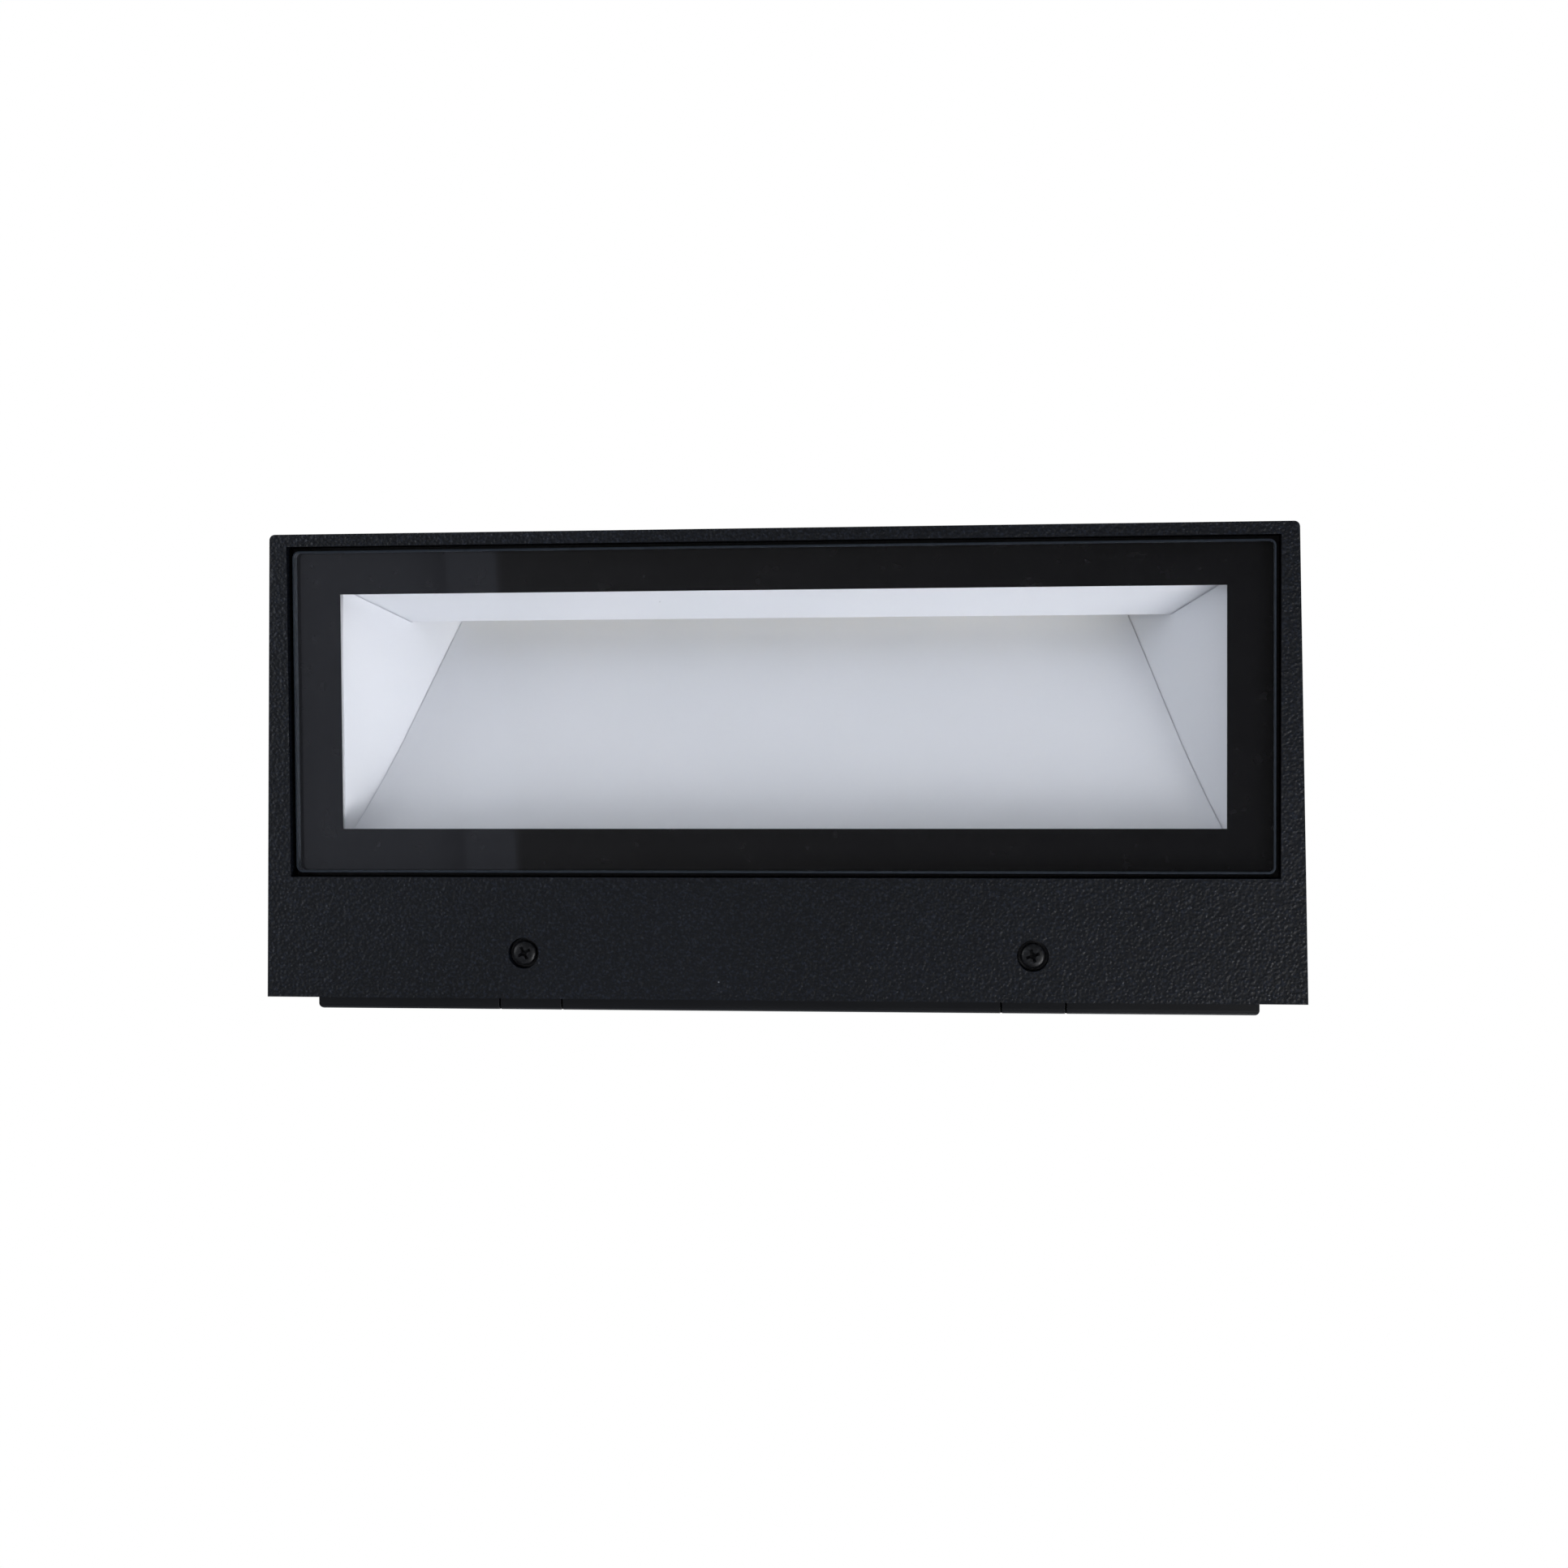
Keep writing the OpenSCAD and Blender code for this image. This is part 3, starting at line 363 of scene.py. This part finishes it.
dark_nylon = moulded("gland_black_nylon", srgb(26, 27, 30), srgb(34, 35, 38), 0.46)
zinc = plated("zinc_plated_steel", srgb(176, 180, 184), srgb(206, 209, 212), 0.32)
brass = plated("plated_brass", srgb(186, 152, 78), srgb(214, 184, 112), 0.28)
white_coat = white_sheet()
black_steel = black_oxide()
FINISHES = {
    "housing": textured_coat(),
    "wall_bracket": satin_coat(),
    "reflector_back": white_coat,
    "reflector_cheek_left": white_coat,
    "reflector_cheek_right": white_coat,
    "glare_shield": white_coat,
    "enamel_border": enamel(),
    "glass_seal": rubber("seal_black_silicone", srgb(18, 18, 20), srgb(26, 26, 28)),
    "rear_cover": cast_metal(),
    "rear_cover_gasket": rubber("gasket_red_silicone", srgb(128, 48, 40), srgb(146, 60, 50)),
    "led_heat_bar": drawn_metal(),
    "led_board": board_mask(),
    "led_chips": phosphor(),
    "led_connector": moulded("connector_ivory_nylon", srgb(232, 228, 212), srgb(242, 238, 224)),
    "thermal_pad": rubber("pad_grey_silicone", srgb(150, 168, 184), srgb(168, 184, 198)),
    "cable_grommet": rubber("grommet_rubber", srgb(20, 20, 21), srgb(30, 30, 31)),
    "gland_body": dark_nylon,
    "gland_locknut": dark_nylon,
    "gland_cap": dark_nylon,
    "gland_bush": rubber("bush_rubber", srgb(24, 24, 25), srgb(36, 36, 37)),
    "driver_case": moulded("driver_white_shell", srgb(222, 224, 226), srgb(234, 236, 238), 0.5),
    "terminal_block": moulded("terminal_grey_nylon", srgb(206, 208, 212), srgb(220, 222, 226)),
    "terminal_clamp_screws": brass,
    "earth_washer": brass,
    "led_lead_positive": rubber("lead_red_silicone", srgb(166, 32, 26), srgb(182, 44, 36), 0.5),
    "led_lead_negative": rubber("lead_black_silicone", srgb(20, 20, 21), srgb(30, 30, 31), 0.5),
    "mains_lead_live": moulded("lead_brown_sleeve", srgb(92, 52, 28), srgb(106, 62, 36)),
    "mains_lead_neutral": moulded("lead_blue_sleeve", srgb(32, 86, 158), srgb(42, 98, 172)),
    "mains_lead_earth": moulded("lead_green_sleeve", srgb(88, 148, 42), srgb(176, 190, 52)),
    "screw_washer_left": dark_nylon,
    "screw_washer_right": dark_nylon,
    "body_screw_left": black_steel,
    "body_screw_right": black_steel,
}
# The other nodes are plain fasteners, apart from glass_cover, which glass_pane stands for.
for name in nodes:
    FINISHES.setdefault(name, zinc)


# ---------- CAD nodes: finish and softened edges ----------

# Widths in millimetres, angles in degrees.
EDGE_WIDTH = {"housing": 0.6, "wall_bracket": 0.1, "rear_cover": 0.5}
SHARPEST_KEPT = 38
FLAT_WITHIN = 0.8


def clean(obj):
    """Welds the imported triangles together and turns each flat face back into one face."""
    weld = obj.modifiers.new("weld", "WELD")
    weld.merge_threshold = 0.002 * MM
    flat = obj.modifiers.new("flat", "DECIMATE")
    flat.decimate_type = "DISSOLVE"
    flat.angle_limit = math.radians(FLAT_WITHIN)


def soften(obj, width):
    """Rounds every edge that turns by more than SHARPEST_KEPT degrees, over width millimetres."""
    bevel = obj.modifiers.new("edge", "BEVEL")
    bevel.width = width * MM
    bevel.segments = 3
    bevel.limit_method = "ANGLE"
    bevel.angle_limit = math.radians(SHARPEST_KEPT)
    bevel.harden_normals = True
    bevel.miter_outer = "MITER_ARC"


for name, obj in nodes.items():
    obj.data.materials.clear()
    obj.data.materials.append(FINISHES[name])
    if name in EDGE_WIDTH:
        clean(obj)
        soften(obj, EDGE_WIDTH[name])


# ---------- new pieces ----------

def new_piece(name, bm, materials, body, stands_for, smooth=True):
    """Turns bm into a piece that rides on the body, in place of the CAD nodes in stands_for."""
    mesh = bpy.data.meshes.new(name)
    bm.normal_update()
    bm.to_mesh(mesh)
    bm.free()
    for m in materials:
        mesh.materials.append(m)
    if smooth:
        mesh.shade_smooth()
    obj = bpy.data.objects.new(name, mesh)
    scene.collection.objects.link(obj)
    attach(obj, body)
    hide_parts(*stands_for)
    return obj


def skin(bm, rings, material_index=0):
    """Joins rings of vertices, from the lowest up, into a closed solid; its flat ends take material 0."""
    for a, b in zip(rings, rings[1:]):
        for k in range(len(a)):
            j = (k + 1) % len(a)
            bm.faces.new((a[k], a[j], b[j], b[k])).material_index = material_index
    bm.faces.new(list(reversed(rings[0])))
    bm.faces.new(rings[-1])


# ---------- glass pane with a ground edge ----------

PANE_CORNER = 2 * MM
PANE_CHAMFER = 0.55 * MM
PRINT_GAP = 0.02 * MM
CORNER_STEPS = 8


def pane():
    """The glass in the CAD pane's box, with chamfered ground edges; it stops just short of the print."""
    low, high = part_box("glass_cover")
    top = high.z - PRINT_GAP
    bm = bmesh.new()

    def outline(inset, z):
        ring = []
        for sx, sy, start in ((1, 1, 0), (-1, 1, 90), (-1, -1, 180), (1, -1, 270)):
            cx = (high.x if sx > 0 else low.x) - sx * PANE_CORNER
            cy = (high.y if sy > 0 else low.y) - sy * PANE_CORNER
            r = PANE_CORNER - inset
            for k in range(CORNER_STEPS + 1):
                a = math.radians(start + k * 90 / CORNER_STEPS)
                ring.append(bm.verts.new((cx + r * math.cos(a), cy + r * math.sin(a), z)))
        return ring

    rings = [
        outline(PANE_CHAMFER, low.z),
        outline(0, low.z + PANE_CHAMFER),
        outline(0, top - PANE_CHAMFER),
        outline(PANE_CHAMFER, top),
    ]
    skin(bm, rings, material_index=1)
    materials = [clear_glass(), ground_edge()]
    new_piece("glass_pane", bm, materials, "luminaire", ["glass_cover"], smooth=False)


pane()


# ---------- fixing screws: domed heads with a cross recess, threaded shanks ----------

HEAD_H = 2.4 * MM
HEAD_RIM = 1.3 * MM
HEAD_BREAK = 0.12 * MM
HEAD_SIDES = 48
HEAD_SHARP_FROM = 32
# The dome's flat middle as a share of the head's radius, and how slowly its curve sets off from there.
DOME_FLAT = 0.12
DOME_POWER = 1.6
DOME_STEPS = 9

SHANK_R = 2 * MM
THREAD_IN_HEAD = 0.02 * MM
THREAD_PITCH = 0.7 * MM
THREAD_DEPTH = 0.3 * MM
THREAD_SIDES = 28
ROWS_PER_TURN = 7
TIP_LENGTH = 1.2 * MM
TIP_TAPER = 0.7

RECESS_LENGTH = 4.1 * MM
RECESS_WIDTH = 0.85 * MM
RECESS_DEPTH = 1.7 * MM
# An arm's length above the head's face and at its floor, as shares of RECESS_LENGTH.
RECESS_MOUTH = 1.15
RECESS_FLOOR = 0.5
# The square core where the arms meet, as shares of an arm's width and depth.
CORE_WIDTH = 2.1
CORE_DEPTH = 1.1
CUTTER_RISE = 0.6 * MM


def ring_of(bm, cx, cy, z, radii):
    """One vertex for each radius, evenly round the upright axis through cx, cy."""
    ring = []
    for k, r in enumerate(radii):
        a = math.tau * k / len(radii)
        ring.append(bm.verts.new((cx + r * math.cos(a), cy + r * math.sin(a), z)))
    return ring


def head(bm, cx, cy, radius, face_z, seat_z):
    """The pan head: a dome from a small flat at face_z to the rim, then an upright rim up to the seat."""
    profile = []
    for k in range(DOME_STEPS + 1):
        a = math.radians(90 * k / DOME_STEPS)
        r = radius * (DOME_FLAT + (1 - DOME_FLAT) * math.sin(a))
        profile.append((r, face_z + (HEAD_H - HEAD_RIM) * (1 - math.cos(a)) ** DOME_POWER))
    profile += [(radius, seat_z - HEAD_BREAK), (radius - HEAD_BREAK, seat_z)]
    skin(bm, [ring_of(bm, cx, cy, z, [r] * HEAD_SIDES) for r, z in profile])


def thread(bm, cx, cy, low, high):
    """A threaded shank: rings whose radius rises and falls along a helix, tapering in at the tip."""
    rows = int((high - low) / THREAD_PITCH * ROWS_PER_TURN)
    rings = []
    for i in range(rows + 1):
        z = low + (high - low) * i / rows
        taper = max(0.0, z - (high - TIP_LENGTH)) * TIP_TAPER
        radii = []
        for k in range(THREAD_SIDES):
            phase = (z - low) / THREAD_PITCH + k / THREAD_SIDES
            radii.append(SHANK_R - taper - THREAD_DEPTH * abs(2 * (phase % 1) - 1))
        rings.append(ring_of(bm, cx, cy, z, radii))
    skin(bm, rings)


def recess_cutter(centre, length, width, depth, turned):
    """One arm of the driver's tip, longer at the head's face than at the recess's floor."""
    bm = bmesh.new()
    about = spin(turned, "Z")
    rings = []
    for level, share in ((-CUTTER_RISE, RECESS_MOUTH), (depth, RECESS_FLOOR)):
        middle = centre + Vector((0, 0, level))
        ring = []
        for u, v in ((-1, -1), (1, -1), (1, 1), (-1, 1)):
            corner = Vector((u * length / 2 * share, v * width / 2, 0))
            ring.append(bm.verts.new(middle + about @ corner))
        rings.append(ring)
    skin(bm, rings)
    mesh = bpy.data.meshes.new("cutter")
    bm.to_mesh(mesh)
    bm.free()
    obj = bpy.data.objects.new("cutter", mesh)
    scene.collection.objects.link(obj)
    return obj


def carve(obj, cutters):
    """Cuts the cutters out of the object for good, and removes them."""
    for cutter in cutters:
        cut = obj.modifiers.new("cut", "BOOLEAN")
        cut.operation = "DIFFERENCE"
        cut.solver = "EXACT"
        cut.object = cutter
    solid = bpy.data.meshes.new_from_object(obj.evaluated_get(bpy.context.evaluated_depsgraph_get()))
    obj.modifiers.clear()
    obj.data = solid
    for cutter in cutters:
        bpy.data.objects.remove(cutter)


def fixing_screw(side, turned):
    """A pan-head screw in the place of the CAD one, its cross turned by so many degrees."""
    node = "body_screw_" + side
    body = "screw_" + side
    low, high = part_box(node)
    cx = (low.x + high.x) / 2
    cy = (low.y + high.y) / 2
    seat_z = low.z + HEAD_H
    bm = bmesh.new()
    head(bm, cx, cy, (high.x - low.x) / 2, low.z, seat_z)
    piece = new_piece("fixing_screw_" + side, bm, [FINISHES[node]], body, [node])
    face = Vector((cx, cy, low.z))
    core = RECESS_WIDTH * CORE_WIDTH
    carve(piece, [
        recess_cutter(face, RECESS_LENGTH, RECESS_WIDTH, RECESS_DEPTH, turned),
        recess_cutter(face, RECESS_LENGTH, RECESS_WIDTH, RECESS_DEPTH, turned + 90),
        recess_cutter(face, core, core, RECESS_DEPTH * CORE_DEPTH, turned + 45),
    ])
    piece.data.set_sharp_from_angle(angle=math.radians(HEAD_SHARP_FROM))
    bm = bmesh.new()
    thread(bm, cx, cy, seat_z - THREAD_IN_HEAD, high.z)
    new_piece("fixing_thread_" + side, bm, [FINISHES[node]], body, [node])


fixing_screw("left", -27)
fixing_screw("right", -19)


# ---------- stage ----------

FLOOR_Z = -1.3
FLOOR_HALF = 40
# Distances from the floor's middle, in units of 10 m, where its drawn tone starts and ends its change.
FLOOR_NEAR = 0.05
FLOOR_FAR = 0.8
FLOOR_TONE = (0.86, 0.87, 0.89)
WHITE = (1.0, 1.0, 1.0)


def floor():
    """A pale floor that is drawn lighter with distance, until it meets the white behind it."""
    f = Finish("floor_pale", rough=0.8, spec=0.2)
    f.colour(f.mix(f.noise(900, 2), srgb(236, 237, 239), srgb(240, 241, 243)))
    distance = f.add("ShaderNodeVectorMath", operation="LENGTH")
    f.link(f.where, distance.inputs[0])
    reach = f.math("MULTIPLY", distance.outputs["Value"], 0.1)
    glow = f.add("ShaderNodeEmission")
    f.link(f.ramp(reach, (FLOOR_NEAR, FLOOR_TONE), (FLOOR_FAR, WHITE)), glow.inputs[0])
    seen = f.add("ShaderNodeLightPath").outputs["Is Camera Ray"]
    share = f.ramp(reach, (FLOOR_NEAR, 0.7), (FLOOR_FAR, 1.0))
    both = f.add("ShaderNodeMixShader")
    f.link(f.math("MULTIPLY", seen, share), both.inputs[0])
    f.link(f.bsdf.outputs[0], both.inputs[1])
    f.link(glow.outputs[0], both.inputs[2])
    f.link(both.outputs[0], f.out.inputs["Surface"])
    mesh = bpy.data.meshes.new("floor")
    bm = bmesh.new()
    bmesh.ops.create_grid(bm, x_segments=2, y_segments=2, size=FLOOR_HALF)
    bm.to_mesh(mesh)
    bm.free()
    mesh.materials.append(f.mat)
    obj = bpy.data.objects.new("floor", mesh)
    obj.location = (0, 0, FLOOR_Z)
    scene.collection.objects.link(obj)
    obj.visible_glossy = False
    obj.visible_transmission = False


MIDDLE = Vector((0, -0.08, 0))


def lamp(name, at, size, watts, tint=WHITE, mirrored=True):
    """A rectangular lamp aimed at the luminaire; with mirrored off, nothing glossy shows it."""
    data = bpy.data.lights.new(name, "AREA")
    data.shape = "RECTANGLE"
    data.size, data.size_y = size
    data.energy = watts
    data.color = tint
    obj = bpy.data.objects.new(name, data)
    obj.location = at
    obj.rotation_mode = "QUATERNION"
    obj.rotation_quaternion = (MIDDLE - Vector(at)).to_track_quat("-Z", "Y")
    obj.visible_camera = False
    obj.visible_glossy = mirrored
    scene.collection.objects.link(obj)


COOL = (0.9, 0.95, 1.12)
SKY = (0.97, 1, 1.05)


def surroundings():
    """White behind the object for the camera, and a room for everything else.

    Level and above, the room is soft and pale. Straight below, it is what the glass mirrors: dark,
    with one pale wall and a window's edge on the left.
    """
    world = bpy.data.worlds.new("room")
    scene.world = world
    world.use_nodes = True
    tree = world.node_tree
    tree.nodes.clear()
    link = tree.links.new

    def calc(operation, *values):
        n = tree.nodes.new("ShaderNodeMath")
        n.operation = operation
        for socket, value in zip(n.inputs, values):
            if isinstance(value, (int, float)):
                socket.default_value = value
            else:
                link(value, socket)
        return n.outputs[0]

    def ramp(fac, *stops):
        n = tree.nodes.new("ShaderNodeValToRGB")
        e = n.color_ramp.elements
        while len(e) < len(stops):
            e.new(0.5)
        for item, (position, grey, tint) in zip(e, stops):
            item.position = position
            item.color = (grey * tint[0], grey * tint[1], grey * tint[2], 1)
        link(fac, n.inputs[0])
        return n.outputs[0]

    split = tree.nodes.new("ShaderNodeSeparateXYZ")
    link(tree.nodes.new("ShaderNodeTexCoord").outputs["Generated"], split.inputs[0])
    x, y, z = split.outputs

    # How far a direction leans to the left for each unit down; the small share of y slants the wall's edge.
    aslant = calc("SUBTRACT", x, calc("MULTIPLY", y, 0.06))
    lean = calc("DIVIDE", aslant, calc("MINIMUM", z, -0.05))
    below = ramp(
        calc("MULTIPLY_ADD", lean, 2.0, 0.3),
        (0.0, 0.03, WHITE),
        (0.3, 0.045, WHITE),
        (0.757, 0.075, WHITE),
        (0.760, 0.2, COOL),
        (0.8006, 0.21, COOL),
        (0.8025, 0.14, COOL),
        (0.834, 0.2, COOL),
        (0.95, 0.21, COOL),
    )
    height = calc("MULTIPLY_ADD", z, 0.5, 0.5)
    above = ramp(height, (0.3, 0.04, COOL), (0.62, 0.62, SKY))
    either = tree.nodes.new("ShaderNodeMix")
    either.data_type = "RGBA"
    link(ramp(height, (0.06, 0.0, WHITE), (0.12, 1.0, WHITE)), either.inputs[0])
    link(below, either.inputs[6])
    link(above, either.inputs[7])

    room = tree.nodes.new("ShaderNodeBackground")
    link(either.outputs[2], room.inputs[0])
    backdrop = tree.nodes.new("ShaderNodeBackground")
    backdrop.inputs[0].default_value = (*WHITE, 1)
    both = tree.nodes.new("ShaderNodeMixShader")
    link(tree.nodes.new("ShaderNodeLightPath").outputs["Is Camera Ray"], both.inputs[0])
    link(room.outputs[0], both.inputs[1])
    link(backdrop.outputs[0], both.inputs[2])
    link(both.outputs[0], tree.nodes.new("ShaderNodeOutputWorld").inputs["Surface"])


floor()
surroundings()
lamp("front_low", (0.1, -1.1, -0.95), (1.2, 0.9), 5.2, (0.98, 0.99, 1), mirrored=False)
lamp("key_right", (0.88, 0.64, -0.95), (0.6, 0.6), 12.2, (1, 0.99, 0.99))
lamp("fill_left", (-1.1, -0.25, -0.8), (0.7, 0.7), 4.8, (0.96, 0.98, 1))
lamp("top_soft", (-0.6, -1.3, 1.5), (1.6, 1.2), 34)
lamp("back_soft", (1.0, 1.5, 1.1), (1.2, 1.2), 22)
